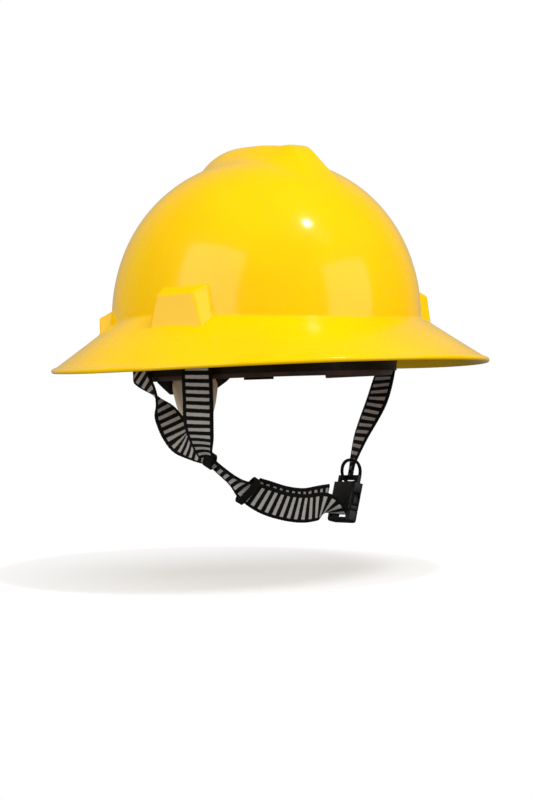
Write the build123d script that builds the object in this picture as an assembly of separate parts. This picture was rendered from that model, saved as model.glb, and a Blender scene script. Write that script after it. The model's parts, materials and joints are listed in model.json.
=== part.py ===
from build123d import *
import math
import os

# Full-brim helmet with a four-point suspension, ratchet headband and chin strap.
# Millimetres. +Z is up, -Y is the wearer's front and +X the wearer's left.
# The origin is the middle of the head, level with the shell's rim.

# Shell
WALL = 3.0
DOME_X = 100.0  # half width of the crown where it meets the brim
DOME_Y = 118.0  # half length of the crown there
DOME_BASE = 31.0
DOME_HEIGHT = 111.0
DOME_POWER = 2.1
RIM_X = 141.0
RIM_Y = 166.0
SPLIT_Z = 35.0  # height at which the crown is built onto the brim ring
LIP = 3.0

# Crest: y, height above the dome, half width of its flat top, half width of its foot
CREST = [(-80, 0.6, 10, 12), (-70, 1.7, 10, 14.5), (-62, 4.3, 9, 17), (-54, 8.4, 7.5, 21), (-47, 10.6, 7.2, 24),
         (-34, 8.4, 9, 28), (-12, 8.3, 12, 30), (14, 9.7, 12.5, 29), (34, 10.7, 12, 26.5), (52, 11, 10.5, 22.5),
         (68, 10.4, 8.5, 18), (82, 7.5, 6, 13), (96, 1.5, 4, 9)]

# Suspension
BAND_R = 78.0  # outer radius of the back half of the headband
BAND_CENTRE = 19.0  # y of that half's centre
BAND_T = 1.8
BAND_LOW = -6.0
BAND_HIGH = 26.0
FRONT_KEY = 68.4  # where a key sits round the crown, in degrees of the ellipse's parameter from the front
REAR_KEY = 125.4
STRAP_W = 20.0
STRAP_T = 1.4
CROWN_TOP = 104.0
KEY_TOP = 38.0
NAPE_R = 75.0
NAPE_T = 4.4

# Ratchet
ARM_R = 80.0
ARM_T = 1.6
ARM_HALF = 12.0
ARM_START = 31.0  # the wide part of an arm, in degrees round from straight back
ARM_END = 47.0
RAIL_TIP = 12.0  # how far an arm's rack reaches past the middle, in degrees
MODULE = 1.5
TEETH = 8
PINION_Z = 4.0
PINION_R = MODULE * TEETH / 2

# Buckle, which hangs at the wearer's left of the chin
BUCKLE_AT = (47.0, -29.0, -82.5)  # top of the upper half's body
BUCKLE_SPIN = 84.0
BUCKLE_LEAN = 16.0
BUCKLE_W = 27.0
BUCKLE_T = 8.5
BUCKLE_FEMALE = 19.0
BUCKLE_BASE = 8.5

# Webbing: each station is its middle, the direction of its width, and how wide it is there
STRAP_REAR = [((-81, 36, 2.5), (0.25, 0.97, 0), 20), ((-81, 31, -5), (-0.1, 0.99, 0), 20),
              ((-77, 26, -13.5), (0.16, 0.98, 0), 19), ((-73, 24, -21), (0.65, 0.75, 0), 17),
              ((-69, 21.5, -30), (0.96, 0.06, 0.15), 19), ((-65.4, 16.5, -41), (0.91, -0.39, 0.2), 20),
              ((-64, 12, -48.5), (0.57, -0.76, 0.3), 18)]
STRAP_FRONT_R = [((-81.5, -39.5, 11), (0.32, -0.95, 0), 20), ((-83, -42, -4), (0.7, -0.7, 0), 20),
                 ((-79, -36, -22), (0.72, -0.7, 0), 20), ((-76.5, -32, -38), (0.65, -0.75, 0), 20),
                 ((-72.5, -28, -49), (0.4, -0.85, 0), 17), ((-68.2, -23.8, -55), (0.4, -0.85, 0.1), 12)]
CHIN = [((-65.5, 4.3, -53), (0.24, -0.53, 0.8), 17), ((-62.7, -7.3, -57.5), (-0.1, -0.66, 0.7), 12),
        ((-59, -17, -62), (-0.3, -0.8, 0.5), 9), ((-52.7, -21.7, -69), (-0.3, -0.8, 0.5), 9),
        ((-44.7, -24.8, -76.4), (-0.3, -0.7, 0.6), 11), ((-35.6, -26.3, -83.5), (-0.1, -0.5, 0.8), 17),
        ((-24, -29.4, -90), (-0.04, -0.4, 0.9), 20), ((-10, -32, -95), (-0.1, -0.32, 0.93), 20),
        ((6, -33, -97.5), (-0.2, -0.22, 0.93), 20), ((20, -32.7, -97), (-0.3, -0.3, 0.85), 20),
        ((29, -31, -98.8), (-0.15, -0.75, 0.6), 20), ((35.8, -29.2, -102), (0, -1, 0.05), 20)]
CHIN_TAIL = [((-28.5, -25.2, -83.4), (-0.06, -0.42, 0.88), 19), ((-23, -26.4, -86), (-0.04, -0.4, 0.9), 20),
             ((-9, -29, -91), (-0.1, -0.32, 0.93), 20), ((6, -30, -93.5), (-0.2, -0.22, 0.93), 20),
             ((19, -29.6, -92.5), (-0.3, -0.25, 0.88), 20), ((29, -27.6, -91), (-0.3, -0.4, 0.8), 19)]
STRAP_FRONT_L = [((82, -38.5, 9.6), (-0.32, -0.95, 0), 20), ((79.5, -33, -6), (0.05, -0.99, 0), 20),
                 ((70, -34.4, -26), (0.17, -0.98, 0), 20), ((62.7, -33, -40), (0.03, -1, 0), 20),
                 ((56, -31.6, -53), (-0.1, -0.99, 0), 20), ((52, -29.6, -65.4), (-0.1, -0.99, 0), 20)]
JUNCTION = 2  # the chin webbing's station that the front right strap loops round
KEEPER = 5  # the station where the doubled webbing starts


def ellipse_point(half_x, half_y, parameter):
    """A point round an ellipse, counted in degrees from the front towards the wearer's left."""
    turn = math.radians(parameter)
    return half_x * math.sin(turn), -half_y * math.cos(turn)


def crown_location(parameter):
    """A place on the crown with local X along the wall and local Y outwards."""
    x, y = ellipse_point(DOME_X, DOME_Y, parameter)
    normal_x, normal_y = x / DOME_X**2, y / DOME_Y**2
    return Location((x, y, 0), (0, 0, math.degrees(math.atan2(-normal_x, normal_y))))


def block(where, across, out, up):
    """A box in a crown location's own directions: each argument is its low and high value."""
    size = [high - low for low, high in (across, out, up)]
    middle = [(high + low) / 2 for low, high in (across, out, up)]
    return where * Pos(*middle) * Box(*size)


def dome_height(x, y):
    """Height of the dome over a point."""
    share = min(math.hypot(x / DOME_X, y / DOME_Y), 1.0)
    return DOME_BASE + DOME_HEIGHT * (1 - share**DOME_POWER) ** (1 / DOME_POWER)


def dome(inset, low):
    """The solid crown, inset from its outer face, from the height low upwards."""
    radius = DOME_X - inset
    height = DOME_HEIGHT - inset
    points = []
    for step in range(12):
        angle = math.radians(90 * step / 12)
        reach = radius * math.cos(angle) ** (2 / DOME_POWER)
        rise = height * math.sin(angle) ** (2 / DOME_POWER)
        points.append((reach, 0, DOME_BASE + rise))
    points.append((0, 0, DOME_BASE + height))
    curve = Spline(points, tangents=[(0, 0, 1), (-1, 0, 0)])
    rest = Polyline(points[-1], (0, 0, low), (radius, 0, low), points[0])
    profile = make_face([curve, rest])
    solid = revolve(profile, axis=Axis.Z)
    return scale(solid, by=(1, (DOME_Y - inset) / radius, 1))


def rim_height(turn):
    """Height of the lip's lower edge, with the turn counted from the front."""
    return -1.65 - 2 * math.cos(turn) + 1.65 * math.cos(2 * turn)


def junction_height(turn):
    return 29.8 - 3.5 * math.cos(2 * turn)


def polar_radius(half_x, half_y, turn):
    return half_x * half_y / math.hypot(half_y * math.sin(turn), half_x * math.cos(turn))


def brim():
    """The sloping brim and the foot of the crown as one ring, lofted through radial sections."""
    sections = []
    for step in range(13):
        turn = math.pi * step / 12
        crown = polar_radius(DOME_X, DOME_Y, turn)
        rim = polar_radius(RIM_X, RIM_Y, turn)
        top = junction_height(turn)
        edge = rim_height(turn)
        points = [(crown - 6, SPLIT_Z), (crown, SPLIT_Z), (crown, top), (rim - 4, edge + 4.2),
                  (rim, edge + LIP), (rim, edge), (rim - 2.4, edge), (crown - 1.5, top - 4.4),
                  (crown - 6, top - 4.4)]
        plane = Plane(origin=(0, 0, 0), x_dir=(math.sin(turn), -math.cos(turn), 0),
                      z_dir=(-math.cos(turn), -math.sin(turn), 0))
        sections.append(make_face(plane * Polyline(*[(a, b) for a, b in points], close=True)))
    half = loft(sections)
    return half + mirror(half, Plane.YZ)


def upright_plane(y):
    """The plane across the object at y, with its own Y pointing up."""
    return Plane(origin=(0, y, 0), x_dir=(1, 0, 0), z_dir=(0, -1, 0))


def slab(outline, near, far):
    """An outline in X and Z, given depth between two values of y."""
    face = make_face(upright_plane(near) * Polyline(*outline, close=True))
    return extrude(face, far - near, dir=(0, 1, 0))


def crest(inset, sink):
    """The raised ridge along the crown, lofted front to back."""
    sections = []
    for y, height, top_half, foot_half in CREST:
        foot = foot_half - inset
        edge = top_half - inset / 3
        middle = (edge + foot) / 2
        base = dome_height(0, y) - sink
        rise = height - inset
        outline = [(foot + 1, base), (foot, dome_height(foot, y) - 0.4),
                   (middle, dome_height(middle, y) + rise * 0.4), (edge, dome_height(edge, y) + rise),
                   (edge * 0.4, dome_height(edge * 0.4, y) + rise)]
        mirrored = [(-x, z) for x, z in reversed(outline)]
        sections.append(make_face(upright_plane(y) * Polyline(*outline, *mirrored, close=True)))
    return loft(sections, ruled=True)


def boss(parameter, foot, top, face_low, face_high, reach, z_low, z_high):
    """A tapered pocket that stands out from the crown's foot."""
    where = crown_location(parameter)
    inner = Polyline((-foot, z_low), (foot, z_low), (top, z_high + 3), (-top, z_high + 3), close=True)
    outer = Polyline((-face_low, z_low), (face_low, z_low), (face_high, z_high - 4), (-face_high, z_high - 4),
                     close=True)
    faces = [make_face(upright_plane(-6) * inner), make_face(upright_plane(reach) * outer)]
    return where * loft(faces, ruled=True)


def pocket(parameter, high):
    """The T-shaped socket that a suspension key slides up into."""
    where = crown_location(parameter)
    wide = block(where, (-11.6, 11.6), (0.8, 5.2), (-20, high))
    narrow = block(where, (-6.6, 6.6), (-8, 1.5), (-20, high))
    return wide + narrow


def side_lug():
    """The small block on the brim beside the crown, with a scoop at its front end."""
    where = crown_location(103)
    body = block(where, (-12, 12), (-6, 9), (20, 30.5))
    scoop = block(where, (4, 13), (3, 10), (24, 32))
    return body - scoop


def both_sides(part):
    return part + mirror(part, Plane.YZ)


def make_shell():
    crown = split(dome(0, 0), Plane.XY.offset(SPLIT_Z), keep=Keep.TOP)
    outer = crown + brim() + crest(0, 9)
    outer += both_sides(boss(FRONT_KEY, 27, 20, 22, 15, 8.6, 20, 49))
    outer += both_sides(boss(REAR_KEY, 24, 17, 19, 12, 8.0, 20, 40))
    outer += both_sides(side_lug())
    hollow = dome(WALL, -20) + crest(WALL, 14)
    shell = outer - hollow
    shell -= both_sides(pocket(FRONT_KEY, 43))
    shell -= both_sides(pocket(REAR_KEY, 34))
    return shell


def make_key(parameter, blade_top, plate_near, plate_far, plate_low, foot):
    """A suspension key: a blade in the shell's socket, a neck and a plate that carries the straps."""
    where = crown_location(parameter)
    key = block(where, (-11.2, 11.2), (1.2, 4.8), (22, blade_top))
    key += block(where, (-6.2, 6.2), (plate_far, 1.2), (24, blade_top - 6))
    key += block(where, (-12, 12), (plate_near, plate_far), (plate_low, KEY_TOP))
    key += block(where, (-6, 6), (foot, plate_near), (17, 24))
    key -= block(where, (-10.4, 10.4), (plate_near - 1, plate_far + 1), (KEY_TOP - 6, KEY_TOP - 3))
    return key


def band_outline(outset):
    """The headband's centre line in plan, from the left side round the front to the right side."""
    radius = BAND_R + outset
    left = (radius, BAND_CENTRE)
    right = (-radius, BAND_CENTRE)
    front = -98 - outset
    bend = outset * 0.75
    return Spline(left, (74.4 + outset, -38), (56.5 + bend, -73 - bend), (0, front),
                  (-56.5 - bend, -73 - bend), (-74.4 - outset, -38), right, tangents=[(0, -1), (0, 1)])


def band_strip(outer_out, inner_out, low, high, back_angle):
    """A strip round the headband's line, open at the back beyond back_angle degrees from the side."""
    def edge(outset):
        radius = BAND_R + outset
        turn = math.radians(back_angle)
        end_x, end_y = radius * math.cos(turn), BAND_CENTRE + radius * math.sin(turn)
        middle = math.radians(back_angle / 2)
        mid_x, mid_y = radius * math.cos(middle), BAND_CENTRE + radius * math.sin(middle)
        front = band_outline(outset)
        left = ThreePointArc((end_x, end_y), (mid_x, mid_y), (radius, BAND_CENTRE))
        right = ThreePointArc((-radius, BAND_CENTRE), (-mid_x, mid_y), (-end_x, end_y))
        return [left, front, right]
    outer = edge(outer_out)
    inner = edge(inner_out)
    caps = [Line(outer[0] @ 0, inner[0] @ 0), Line(outer[2] @ 1, inner[2] @ 1)]
    face = make_face(outer + inner + caps)
    return Pos(0, 0, low) * extrude(face, high - low, dir=(0, 0, 1))


def make_headband():
    """The headband, with vent slots round its front half."""
    band = band_strip(0, -BAND_T, BAND_LOW, BAND_HIGH, 50)
    for angle in (20, -20, 40, -40, 60, -60, 78, -78):
        x, y = ellipse_point(BAND_R, 90, angle)
        band -= Pos(x, y, 12) * Rot(0, 0, angle) * Box(8, 50, 5)
    return band


def make_sweatband():
    return band_strip(-BAND_T - 0.2, -BAND_T - 3.2, BAND_LOW - 3, 24, 8)


def arc_strip(radius, thick, low, high, start, end):
    """A strip on the ratchet's circle; angles are counted in degrees from straight back, positive to the left."""
    def at(distance, angle):
        turn = math.radians(angle)
        return distance * math.sin(turn), BAND_CENTRE + distance * math.cos(turn)
    middle = (start + end) / 2
    inner, outer = radius - thick / 2, radius + thick / 2
    face = make_face([ThreePointArc(at(inner, start), at(inner, middle), at(inner, end)),
                      Line(at(inner, end), at(outer, end)),
                      ThreePointArc(at(outer, end), at(outer, middle), at(outer, start)),
                      Line(at(outer, start), at(inner, start))])
    return Pos(0, 0, low) * extrude(face, high - low, dir=(0, 0, 1))


def rack_arm(side):
    """One adjusting arm with its rack. The left arm's rack lies over the pinion and the right arm's under it."""
    up = side
    wide = arc_strip(ARM_R, ARM_T, PINION_Z - ARM_HALF, PINION_Z + ARM_HALF, ARM_START, ARM_END)
    pitch = PINION_Z + up * PINION_R
    root = pitch + up * 1.25 * MODULE
    back = PINION_Z + up * ARM_HALF
    rail = arc_strip(ARM_R, ARM_T, min(root, back), max(root, back), -RAIL_TIP, ARM_START + 1)
    arm = wide + rail
    for index in range(-3, 6):
        turn = index * MODULE * math.pi / ARM_R
        place = (ARM_R * math.sin(turn), BAND_CENTRE + ARM_R * math.cos(turn), 0)
        tooth = Plane(origin=place, x_dir=(math.cos(turn), -math.sin(turn), 0),
                      z_dir=(-math.sin(turn), -math.cos(turn), 0))
        half_root = MODULE * math.pi / 4 + 0.32
        tip = pitch - up * 0.8 * MODULE
        outline = Polyline((-half_root, root + up * 0.3), (half_root, root + up * 0.3), (0.42, tip), (-0.42, tip),
                           close=True)
        arm += extrude(make_face(tooth * outline), ARM_T / 2 - 0.02, both=True)
    if side < 0:
        arm = mirror(arm, Plane.YZ)
    return arm


def make_pinion():
    """The small gear on the knob's shaft, its axis along Y."""
    plane = Plane(origin=(0, BAND_CENTRE + ARM_R, PINION_Z), x_dir=(1, 0, 0), z_dir=(0, -1, 0))
    points = []
    tip, root = PINION_R + 0.8 * MODULE, PINION_R - 1.2 * MODULE
    for index in range(TEETH):
        centre = 360 / TEETH * index + 90 + 180 / TEETH
        for radius, spread in ((root, -13.5), (tip, -4.2), (tip, 4.2), (root, 13.5)):
            turn = math.radians(centre + spread)
            points.append((radius * math.cos(turn), radius * math.sin(turn)))
    gear = extrude(make_face(plane * Polyline(*points, close=True)), 1.3, both=True)
    shaft = plane * Pos(0, 0, -5.5) * Cylinder(3.0, 9)
    return gear + shaft


def on_knob_axis(near, far, radius):
    """A disc on the knob's axis between two values of y."""
    return Pos(0, (near + far) / 2, PINION_Z) * Rot(90, 0, 0) * Cylinder(radius, far - near)


def make_ratchet_housing():
    """The housing behind the head: an open tray round the racks, lower in its middle."""
    outline = [(-30, 18), (30, 18), (33, 12), (33, -4), (28, -9), (16, -17.5), (-16, -17.5), (-28, -9), (-33, -4),
               (-33, 12)]
    ring = arc_strip(ARM_R + 0.6, 5.6, -30, 30, -28, 28)
    channel = arc_strip(ARM_R, ARM_T + 0.9, PINION_Z - 12.6, PINION_Z + 12.6, -40, 40)
    housing = slab(outline, 80, 120) & ring
    housing -= channel
    housing -= on_knob_axis(BAND_CENTRE + ARM_R - 1.7, BAND_CENTRE + ARM_R + 9, 8.2)
    return housing


def make_ratchet_cover():
    """The round cup under the knob, with the ring of detent teeth inside."""
    y = BAND_CENTRE + ARM_R + 3.6
    cup = on_knob_axis(y, y + 6, 15)
    cup -= on_knob_axis(y + 2, y + 7, 12.2)
    cup -= on_knob_axis(y - 1, y + 7, 3.3)
    for index in range(24):
        turn = math.radians(15 * index)
        x, z = 12.2 * math.sin(turn), PINION_Z + 12.2 * math.cos(turn)
        cup -= Pos(x, y + 4.5, z) * Rot(90, 0, 0) * Cylinder(0.7, 5)
    return cup


def make_detent_spring():
    """A leaf spring on the shaft that clicks over the detent teeth."""
    y = BAND_CENTRE + ARM_R + 6
    leaf = on_knob_axis(y, y + 2.2, 5)
    leaf += Pos(0, y + 1.1, PINION_Z) * Box(1.4, 2.2, 23)
    return leaf - on_knob_axis(y - 1, y + 3, 3.0)


def make_knob():
    y = BAND_CENTRE + ARM_R + 10
    knob = on_knob_axis(y, y + 9, 17)
    knob = chamfer(knob.edges().sort_by(Axis.Y)[-1], 1.6)
    for index in range(20):
        turn = math.radians(18 * index)
        flute = Pos(17.6 * math.sin(turn), y + 4, PINION_Z + 17.6 * math.cos(turn)) * Rot(90, 0, 0)
        knob -= flute * Cylinder(1.5, 12)
    knob -= on_knob_axis(y + 4, y + 10, 4.2)
    return knob - on_knob_axis(y - 1, y + 5, 1.2)


def make_knob_screw():
    y = BAND_CENTRE + ARM_R + 10
    screw = on_knob_axis(y + 4, y + 6.4, 3.6) + on_knob_axis(y, y + 4, 1.2)
    slot = Pos(0, y + 6.4, PINION_Z)
    return screw - slot * Box(4.6, 1.6, 0.8) - slot * Box(0.8, 1.6, 4.6)


def make_nape_pad():
    """The tongue-shaped pad that rests on the nape."""
    outline = [(-16, 10), (16, 10), (18, -3), (22.5, -9), (22.5, -14), (15.5, -36), (11, -41), (-11, -41),
               (-15.5, -36), (-22.5, -14), (-22.5, -9), (-18, -3)]
    return slab(outline, 80, 110) & arc_strip(NAPE_R, NAPE_T, -50, 20, -30, 30)


def crown_strap(side, top):
    """Webbing over the head from a front key to the rear key across."""
    front = crown_location(FRONT_KEY * side) * Pos(0, -13.4, 0)
    rear = crown_location(-REAR_KEY * side) * Pos(0, -7.4, 0)
    a, b = front.position, rear.position
    run = b - a
    half = run.length / 2
    middle = (a + b) * 0.5
    low = KEY_TOP + 0.2
    plane = Plane(origin=(middle.X, middle.Y, low), x_dir=(run.X, run.Y, 0), z_dir=(run.Y, -run.X, 0))
    rise = top - low
    outer = plane * EllipticalCenterArc((0, 0), half, rise, 0, arc_size=180)
    inner = plane * EllipticalCenterArc((0, 0), half - STRAP_T, rise - STRAP_T, 0, arc_size=180)
    face = make_face([outer, inner, Line(outer @ 0, inner @ 0), Line(outer @ 1, inner @ 1)])
    return extrude(face, STRAP_W / 2, both=True)


def webbing_plane(stations, index):
    """The cross-section plane of webbing at a station, with local X along the webbing's width."""
    centre, across, _ = stations[index]
    before = Vector(*stations[max(index - 1, 0)][0])
    after = Vector(*stations[min(index + 1, len(stations) - 1)][0])
    along = (after - before).normalized()
    wide = Vector(*across)
    wide = (wide - along * wide.dot(along)).normalized()
    return Plane(origin=centre, x_dir=wide, z_dir=along)


def webbing(stations):
    """Webbing through the stations; where it is folded lengthwise it is narrower and thicker."""
    sections = []
    for index, (_, _, width) in enumerate(stations):
        thick = STRAP_T if width > 15 else 2 * STRAP_T
        sections.append((webbing_plane(stations, index) * Rectangle(width, thick)).face())
    return loft(sections, ruled=True)


def make_strap_hook(parameter, reach):
    """The flat hook that hangs a chin-strap end on a key."""
    return block(crown_location(parameter), (-11, 11), (reach, reach + 3.2), (12.5, 19))


def make_rear_anchor():
    """The tab on the headband's right side that holds the rear end of the chin strap."""
    return arc_strip(BAND_R + 1.8, 3.2, 4.5, 16, -68, -84)


def buckle_location():
    return Location(BUCKLE_AT) * Rot(0, BUCKLE_LEAN, 0) * Rot(0, 0, BUCKLE_SPIN)


def make_buckle_female():
    """The upper half of the buckle: a flat sleeve with side windows and a bar for the webbing."""
    body = Pos(0, 0, -BUCKLE_FEMALE / 2) * Box(BUCKLE_W, BUCKLE_T, BUCKLE_FEMALE)
    body = fillet(body.edges().filter_by(Axis.Z), 2.4)
    body -= Pos(0, 0, -BUCKLE_FEMALE / 2 - 2.5) * Box(BUCKLE_W - 4, BUCKLE_T - 3.4, BUCKLE_FEMALE)
    body -= Pos(0, 0, -11.5) * Box(BUCKLE_W + 4, BUCKLE_T - 3.4, 9)
    bar = Pos(0, 0, 2.6) * Box(BUCKLE_W - 1, 2.4, 5.4) - Pos(0, 0, 1.15) * Box(STRAP_W + 1.2, 8, 1.9)
    return buckle_location() * (body + bar)


def make_buckle_male():
    """The lower half: a base with a webbing slot and a tongue that guides it into the sleeve."""
    base = Pos(0, 0, -BUCKLE_FEMALE - BUCKLE_BASE / 2 - 0.2) * Box(BUCKLE_W, BUCKLE_T, BUCKLE_BASE)
    base = fillet(base.edges().filter_by(Axis.Z), 2.4)
    base = fillet(base.edges().group_by(Axis.Z)[0], 2.0)
    base -= Pos(0, 0, -BUCKLE_FEMALE - 4.2) * Box(STRAP_W + 1.2, BUCKLE_T + 2, 2.8)
    tongue = Pos(0, 0, -12.5) * Box(5, 3.4, 15)
    return buckle_location() * (base + tongue)


def make_prong(side):
    """A springy arm of the buckle's lower half, with the button that shows in the side window."""
    outline = [(5.4, -19.1), (9.6, -19.1), (10.4, -16.2), (13.9, -15.6), (14.1, -12), (12.6, -8.6), (9.6, -4.6),
               (7.4, -4.6), (8.8, -9), (8.2, -15)]
    return buckle_location() * slab([(side * x, z) for x, z in outline], -2, 2)


def make_strap_loop():
    """The loop of webbing sewn round the buckle's upper bar."""
    outer = Ellipse(8.0, 6.5)
    inner = Ellipse(8.0 - STRAP_T, 6.5 - STRAP_T)
    ring = extrude(outer - inner, STRAP_W / 2, both=True)
    return buckle_location() * Pos(0, 0, 8.4) * Rot(0, 90, 0) * ring


def make_band_loop(stations, index, across, through, length):
    """A narrow loop round webbing at one of its stations."""
    plane = webbing_plane(stations, index)
    return plane * Box(across + 2.4, through + 2.4, length) - plane * Box(across, through, length + 2)


def main():
    parts = {
        "shell": make_shell(),
        "headband": make_headband(),
        "sweatband": make_sweatband(),
        "left_rack_arm": rack_arm(1),
        "right_rack_arm": rack_arm(-1),
        "pinion": make_pinion(),
        "ratchet_housing": make_ratchet_housing(),
        "ratchet_cover": make_ratchet_cover(),
        "detent_spring": make_detent_spring(),
        "ratchet_knob": make_knob(),
        "knob_screw": make_knob_screw(),
        "nape_pad": make_nape_pad(),
        "crown_strap_lower": crown_strap(1, CROWN_TOP),
        "crown_strap_upper": crown_strap(-1, CROWN_TOP + 2 * STRAP_T),
        "strap_rear_right": webbing(STRAP_REAR),
        "strap_front_right": webbing(STRAP_FRONT_R),
        "strap_front_left": webbing(STRAP_FRONT_L),
        "chin_webbing": webbing(CHIN),
        "chin_webbing_tail": webbing(CHIN_TAIL),
        "buckle_female": make_buckle_female(),
        "buckle_male": make_buckle_male(),
        "buckle_prong_left": make_prong(1),
        "buckle_prong_right": make_prong(-1),
        "buckle_strap_loop": make_strap_loop(),
        "hook_front_left": make_strap_hook(FRONT_KEY, -15),
        "hook_front_right": make_strap_hook(-FRONT_KEY, -15),
        "anchor_rear_right": make_rear_anchor(),
        "junction_loop": make_band_loop(CHIN, JUNCTION, 13, 6.4, 8),
        "webbing_keeper": make_band_loop(CHIN, KEEPER, 21, 8.5, 6),
    }
    for side, word in ((1, "left"), (-1, "right")):
        parts[f"key_front_{word}"] = make_key(side * FRONT_KEY, 42, -18, -15.5, 10, -18.6)
        parts[f"key_rear_{word}"] = make_key(side * REAR_KEY, 33, -11.8, -9.3, 15.5, -16.8)
    os.makedirs("parts", exist_ok=True)
    for name, shape in parts.items():
        export_step(shape, f"parts/{name}.step")


main()
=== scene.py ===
import json
import math

import bmesh
import bpy
import numpy as np
from mathutils import Matrix, Vector

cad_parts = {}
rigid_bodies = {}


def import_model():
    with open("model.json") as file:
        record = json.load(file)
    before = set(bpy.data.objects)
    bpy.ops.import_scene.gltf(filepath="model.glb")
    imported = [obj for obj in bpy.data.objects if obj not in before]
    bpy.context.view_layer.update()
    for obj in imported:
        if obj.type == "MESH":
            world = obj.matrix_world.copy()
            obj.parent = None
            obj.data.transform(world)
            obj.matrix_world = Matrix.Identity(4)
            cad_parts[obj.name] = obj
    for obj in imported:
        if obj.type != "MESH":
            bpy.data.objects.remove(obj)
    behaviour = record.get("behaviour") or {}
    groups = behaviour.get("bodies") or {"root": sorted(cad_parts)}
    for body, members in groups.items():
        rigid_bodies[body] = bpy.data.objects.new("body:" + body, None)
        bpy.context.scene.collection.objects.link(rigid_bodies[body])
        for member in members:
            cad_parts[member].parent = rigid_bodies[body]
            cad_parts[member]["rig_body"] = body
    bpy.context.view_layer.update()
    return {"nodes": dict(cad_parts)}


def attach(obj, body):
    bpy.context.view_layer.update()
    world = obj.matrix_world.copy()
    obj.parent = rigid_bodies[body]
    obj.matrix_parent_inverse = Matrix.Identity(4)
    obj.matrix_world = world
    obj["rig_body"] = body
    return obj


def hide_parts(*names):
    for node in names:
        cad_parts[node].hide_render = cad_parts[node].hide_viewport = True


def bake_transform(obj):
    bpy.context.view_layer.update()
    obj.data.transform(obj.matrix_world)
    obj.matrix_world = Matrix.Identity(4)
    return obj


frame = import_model()
NODES = frame["nodes"]
MM = 0.001

# The shell's driving sizes, in millimetres. The front is -Y and the wearer's left is +X.
DOME_X, DOME_Y, DOME_BASE, DOME_HEIGHT, DOME_POWER = 100.0, 118.0, 31.0, 111.0, 2.1
RIM_X, RIM_Y, WALL = 141.0, 166.0, 3.0
BRIM_END = 4.0  # the flat brim stops this far inside the rim, and the rolled lip takes over
BRIM_RISE = 4.4  # the brim's upper face above the lip's lowest point
POLE = 0.012  # share of the radius at which the dome's rings stop and its cap begins
# Places round the crown, in degrees of its ellipse from the front
FRONT_KEY, REAR_KEY, SIDE_LUG = 68.4, 125.4, 103.0

# Webbing, in millimetres
WEB_WIDTH, WEB_THICK, LOOP_THICK, RING_THICK = 20.0, 1.4, 1.1, 1.6
WEB_SPACING = 0.75  # between the rings of a webbing mesh
WEB_ACROSS = 13  # points across each face of a webbing mesh

# Padded parts, in millimetres
BAND_INSET, BAND_MIDDLE, BAND_HALF_HEIGHT, BAND_ACROSS = -3.7, 7.5, 16.4, 31
BAND_SIDE, BAND_BACK = 78.0, 19.0  # the headband's half width, and where its rear arc is centred
PAD_RADIUS, PAD_TOP, PAD_BOTTOM, PAD_ACROSS = 75.0, 9.5, -41.0, 33

# The view: angles in degrees, lens in millimetres. The rest, and the floor, are in metres.
VIEW_AZIMUTH, VIEW_ROLL, VIEW_LENS = -35.0, -1.7, 71.73
VIEW_DISTANCE, VIEW_HEIGHT = 1.1, -0.0235
FLOOR_Z, FLOOR_HALF = -0.145, 6


# ---------------------------------------------------------------- materials
def shader(name, colour, roughness, **inputs):
    """A material with one Principled shader; the uniform values are set on its own sockets."""
    mat = bpy.data.materials.new(name)
    mat.use_nodes = True
    bsdf = mat.node_tree.nodes["Principled BSDF"]
    bsdf.inputs["Base Color"].default_value = (*colour, 1)
    bsdf.inputs["Roughness"].default_value = roughness
    for key, value in inputs.items():
        bsdf.inputs[key.replace("_", " ")].default_value = value
    return mat, bsdf


def add(mat, kind, **settings):
    """A new shader node; each setting goes to the socket of that name, or else to the node itself."""
    node = mat.node_tree.nodes.new(kind)
    for key, value in settings.items():
        if key in node.inputs:
            node.inputs[key].default_value = value
        else:
            setattr(node, key, value)
    return node


def link(mat, a, b):
    mat.node_tree.links.new(a, b)


def math_node(mat, operation, a, b=None, c=None):
    """A Math node whose inputs are sockets or numbers; returns its output."""
    node = add(mat, "ShaderNodeMath", operation=operation)
    for index, value in enumerate((a, b, c)):
        if value is None:
            continue
        if isinstance(value, (int, float)):
            node.inputs[index].default_value = value
        else:
            link(mat, value, node.inputs[index])
    return node.outputs[0]


def mix_colour(mat, factor, a, b):
    node = add(mat, "ShaderNodeMix", data_type="RGBA")
    for socket, value in ((node.inputs[0], factor), (node.inputs[6], a), (node.inputs[7], b)):
        if isinstance(value, tuple):
            socket.default_value = (*value, 1)
        elif isinstance(value, (int, float)):
            socket.default_value = value
        else:
            link(mat, value, socket)
    return node.outputs[2]


def noise(mat, scale, detail=3.0, roughness=0.55):
    """Noise in the object's own metres."""
    place = add(mat, "ShaderNodeTexCoord")
    node = add(mat, "ShaderNodeTexNoise")
    node.inputs["Scale"].default_value = scale
    node.inputs["Detail"].default_value = detail
    node.inputs["Roughness"].default_value = roughness
    link(mat, place.outputs["Object"], node.inputs["Vector"])
    return node.outputs["Fac"]


def ranged(mat, value, low, high, to_low, to_high):
    node = add(mat, "ShaderNodeMapRange", interpolation_type="SMOOTHSTEP")
    link(mat, value, node.inputs["Value"])
    for key, number in (("From Min", low), ("From Max", high), ("To Min", to_low), ("To Max", to_high)):
        node.inputs[key].default_value = number
    return node.outputs["Result"]


def bump(mat, bsdf, height, strength, distance):
    node = add(mat, "ShaderNodeBump")
    node.inputs["Strength"].default_value = strength
    node.inputs["Distance"].default_value = distance
    link(mat, height, node.inputs["Height"])
    link(mat, node.outputs["Normal"], bsdf.inputs["Normal"])


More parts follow.
